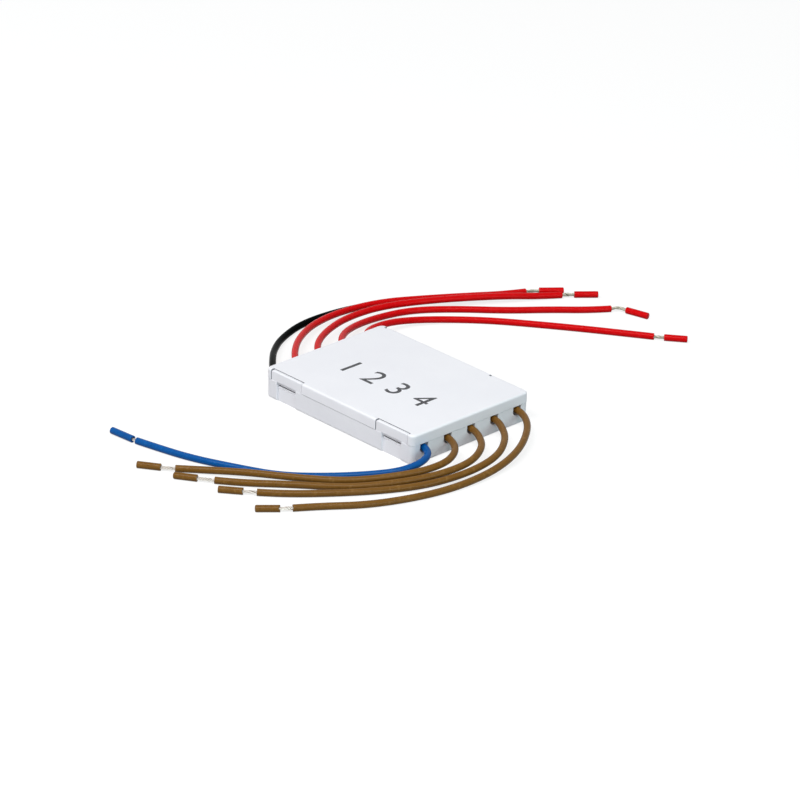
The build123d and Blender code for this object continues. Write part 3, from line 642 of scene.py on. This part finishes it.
def flying_lead(lead, seed):
    """A lead's insulation, strands and slug. The strands leave the insulation along the route's last stretch,
    bend halfway along their bare length, raised there by the lead's bow, and run on along the slug's
    heading."""
    bare, slug, heading, route = LEADS[lead]
    colour = lead.split("_")[0]
    path = centreline(route)
    grid = lead_grid(path, LEAD_NICK.get(lead, PLAIN_NICK))
    insulated = tube_piece(lead + "_insulation", [grid], INSULATION[colour], "casing")
    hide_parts(lead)

    end, before = np.array(route[-1]), np.array(route[-2])
    ahead = (end - before) / np.linalg.norm(end - before)
    out = np.array([math.cos(math.radians(heading)), math.sin(math.radians(heading)), 0.0])
    bend = end + ahead * bare / 2
    slug_start = bend + out * bare / 2
    tip = slug_start + out * (slug - bare)
    bowed = bend + np.array([0.0, 0.0, BOW.get(lead, 0.0)])
    bare_path = centreline([end - ahead * HIDDEN_LENGTH, end, bowed, slug_start, tip])
    spread, twist = SPREAD.get(lead, PLAIN_SPREAD)
    # The red leads' strands get the copy with painted shade
    wires = tube_piece(named(lead, "strands") + "_wires", strand_grids(bare_path, bare, spread, twist, seed),
                       STRANDS_PAINTED_DARKER if colour == "red" else BRIGHT_STRANDS, "casing")
    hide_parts(named(lead, "strands"))

    straight = np.array([slug_start, slug_start + out * slug])
    grid = slug_grid(straight, slug, SLUG_RIM.get(lead, PLAIN_SLUG_RIM), SLUG_NICK.get(lead, PLAIN_NICK))
    sleeve = tube_piece(named(lead, "slug") + "_sleeve", [grid], INSULATION[colour], named(lead, "slug"))
    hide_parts(named(lead, "slug"))


for seed, lead in enumerate(LEADS, start=1):
    flying_lead(lead, seed)


# Casing

EDGE_BEVEL = 0.00005
BEVELLED_FROM_DEGREES = 30
FLAT_WITHIN_DEGREES = 0.5
MERGE_WITHIN = 0.000002


def bevelled_copy(name, cad_node):
    """A copy of a CAD node with its doubled points merged and its flat faces joined, and a narrow round
    bevel on each edge that turns more than the angle from which edges are bevelled."""
    mesh = nodes[cad_node].data.copy()
    mesh.name = name
    if "custom_normal" in mesh.attributes:
        mesh.attributes.remove(mesh.attributes["custom_normal"])
    form = bmesh.new()
    form.from_mesh(mesh)
    bmesh.ops.remove_doubles(form, verts=form.verts, dist=MERGE_WITHIN)
    bmesh.ops.dissolve_limit(form, angle_limit=math.radians(FLAT_WITHIN_DEGREES), verts=form.verts,
                             edges=form.edges)
    form.to_mesh(mesh)
    form.free()
    mesh.shade_smooth()
    mesh.materials.clear()
    mesh.materials.append(WHITE)
    piece = placed(name, mesh)
    edges = piece.modifiers.new("edges", "BEVEL")
    edges.width = EDGE_BEVEL
    edges.segments = 2
    edges.limit_method = "ANGLE"
    edges.angle_limit = math.radians(BEVELLED_FROM_DEGREES)
    edges.use_clamp_overlap = False
    edges.harden_normals = True
    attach(piece, "casing")
    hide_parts(cad_node)


bevelled_copy("base_shell", "base_case")
bevelled_copy("cover_shell", "top_cover")


# Plain channel numbers on the cover

NUMBER_SIZE = 0.0095
NUMBERS_X = (-0.0121, -0.004, 0.0041, 0.0124)
NUMBERS_Y = -0.0039
INK_THICKNESS = 0.000006
INK_MERGE_WITHIN = 0.0000002


def channel_numbers():
    """The numbers 1 to 4 in the built-in typeface, made a mesh first and then laid on the cover."""
    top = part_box("top_cover")[1].z
    form = bmesh.new()
    for number, x in enumerate(NUMBERS_X, start=1):
        text = bpy.data.curves.new("number", "FONT")
        text.body = str(number)
        text.size = NUMBER_SIZE
        text.align_x = "CENTER"
        text.align_y = "CENTER"
        text.extrude = INK_THICKNESS
        text.resolution_u = 8
        holder = bpy.data.objects.new("number", text)
        flat = bpy.data.meshes.new_from_object(holder)
        flat.transform(Matrix.Translation((x, NUMBERS_Y, top + INK_THICKNESS)))
        form.from_mesh(flat)
        bpy.data.objects.remove(holder)
        bpy.data.curves.remove(text)
        bpy.data.meshes.remove(flat)
    bmesh.ops.remove_doubles(form, verts=form.verts, dist=INK_MERGE_WITHIN)
    mesh = bpy.data.meshes.new("channel_numbers")
    form.to_mesh(mesh)
    form.free()
    mesh.materials.append(printing_ink())
    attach(placed("channel_numbers", mesh), "casing")


channel_numbers()


# Inner pieces, which keep their CAD shape: the chips' metal caps and their pitch across the board, a period
# past the module's size for what stands once, and how far the packages' metal pins reach in

CHIP_LENGTH = 0.0032
CHIP_CAP = 0.0005
CHIP_PITCH = 0.0042
LEAD_PITCH = 0.00762
ONE_ONLY = 1.0
METAL_PINS = {"bridge_rectifier": 0.0013, "optocoupler": 0.0017}


def dress(cad_node, material):
    """A CAD node gets a material in place of its own."""
    nodes[cad_node].data.materials.clear()
    nodes[cad_node].data.materials.append(material)


def inner_materials():
    """The materials of the board's components, whose metal is found by distance from the first one's edge."""
    resistors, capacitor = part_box("dropper_resistors_1")[0].x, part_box("smoothing_capacitor_1")[0].y
    body_end = CHIP_LENGTH - CHIP_CAP
    made = {
        "dropper_resistors": capped_component("resistor_ceramic", 0, resistors, CHIP_PITCH, CHIP_CAP,
                                              body_end, (0.02, 0.02, 0.025), (0.03, 0.03, 0.035)),
        "smoothing_capacitor": capped_component("capacitor_ceramic", 1, capacitor, LEAD_PITCH, CHIP_CAP,
                                                body_end, (0.42, 0.3, 0.18), (0.36, 0.25, 0.14)),
    }
    for part, pin_reach in METAL_PINS.items():
        low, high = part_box(part + "_1")
        made[part] = capped_component(part + "_epoxy", 0, low.x, ONE_ONLY, pin_reach,
                                      high.x - low.x - pin_reach, (0.02, 0.02, 0.022), (0.03, 0.03, 0.032))
    return made


dress("circuit_board", board_laminate())
for end_name in ("mains", "signal"):
    dress(end_name + "_lead_tails", TAILS)
    dress(end_name + "_solder_joints", SOLDER)
for part, material in inner_materials().items():
    for channel in range(1, 5):
        dress(f"{part}_{channel}", material)


# Floor, world and lamps

FLOOR_HALF = 2.0
FLOOR_DROP = 0.00001
FLOOR_LIT = (0.35, 0.35, 0.36, 1.0)
FLOOR_SHADOWED = (0.27, 0.27, 0.27, 1.0)
FLOOR_GLOW = 0.79
WHITE_LIGHT = (1.0, 1.0, 1.0, 1.0)
SKY_LIGHT = (0.96, 0.98, 1.0, 1.0)
SKY_STRENGTH = 0.15


def seen_share(tree):
    """1 where a camera, mirror or glass ray looks, and 0 for the rays that carry light."""
    rays = node(tree, "LightPath").outputs
    return maths(tree, "MAXIMUM", rays["Is Camera Ray"],
                 maths(tree, "MAXIMUM", rays["Is Glossy Ray"], rays["Is Transmission Ray"]))


def pale_floor():
    """A white floor under the module. What looks at it sees its own light added, so it shows white with a
    light shadow."""
    corners = FLOOR_HALF * np.array([[-1, -1, 0], [1, -1, 0], [1, 1, 0], [-1, 1, 0]], float)
    corners[:, 2] = -FLOOR_DROP
    mesh = bpy.data.meshes.new("floor")
    mesh.from_pydata(corners.tolist(), [], [[0, 1, 2, 3]])
    material, tree, shader = new_material("pale_floor")
    tree.nodes.remove(shader)
    lit = node(tree, "BsdfDiffuse", None, Color=FLOOR_LIT).outputs[0]
    looked_at = node(tree, "BsdfDiffuse", None, Color=FLOOR_SHADOWED).outputs[0]
    glow = node(tree, "Emission", None, Color=WHITE_LIGHT, Strength=FLOOR_GLOW).outputs[0]
    looked_at = node(tree, "AddShader", None, i0=looked_at, i1=glow).outputs[0]
    both = node(tree, "MixShader", None, i0=seen_share(tree), i1=lit, i2=looked_at).outputs[0]
    tree.links.new(both, tree.nodes["Material Output"].inputs["Surface"])
    mesh.materials.append(material)
    placed("floor", mesh)


def pale_world():
    """White where it is looked at, and an even soft light for everything else."""
    world = bpy.data.worlds.new("studio")
    world.use_nodes = True
    tree = world.node_tree
    lit = tree.nodes["Background"]
    lit.inputs["Color"].default_value = SKY_LIGHT
    lit.inputs["Strength"].default_value = SKY_STRENGTH
    looked_at = node(tree, "Background", None, Color=WHITE_LIGHT, Strength=1.0).outputs[0]
    both = node(tree, "MixShader", None, i0=seen_share(tree), i1=lit.outputs[0], i2=looked_at).outputs[0]
    tree.links.new(both, tree.nodes["World Output"].inputs["Surface"])
    bpy.context.scene.world = world


def softbox(name, azimuth, elevation, distance, size, watts, colour=(1.0, 1.0, 1.0)):
    """A lamp of a width and a height that looks at the module from its viewpoint."""
    back, level, rise = viewpoint(azimuth, elevation)
    data = bpy.data.lights.new(name, "AREA")
    data.shape = "RECTANGLE"
    data.size, data.size_y = size
    data.energy = watts
    data.color = colour
    lamp = placed(name, data)
    turn = Matrix((level, rise, back)).transposed().to_4x4()
    lamp.matrix_world = Matrix.Translation(back * distance) @ turn
    lamp.visible_camera = False
    return lamp


pale_floor()
pale_world()
softbox("key", azimuth=25.0, elevation=62.0, distance=1.0, size=(0.9, 0.25), watts=8.2)
side_lamp = softbox("side", azimuth=-35.0, elevation=25.0, distance=1.2, size=(0.8, 0.8), watts=4.3)
softbox("end_fill", azimuth=80.0, elevation=20.0, distance=1.2, size=(0.6, 0.6), watts=4.2,
        colour=(0.74, 0.99, 1.0))
# The cover doesn't mirror the side lamp, which would clip it to white from the other side.
side_lamp.visible_glossy = False

bpy.context.scene.view_settings.view_transform = "Standard"
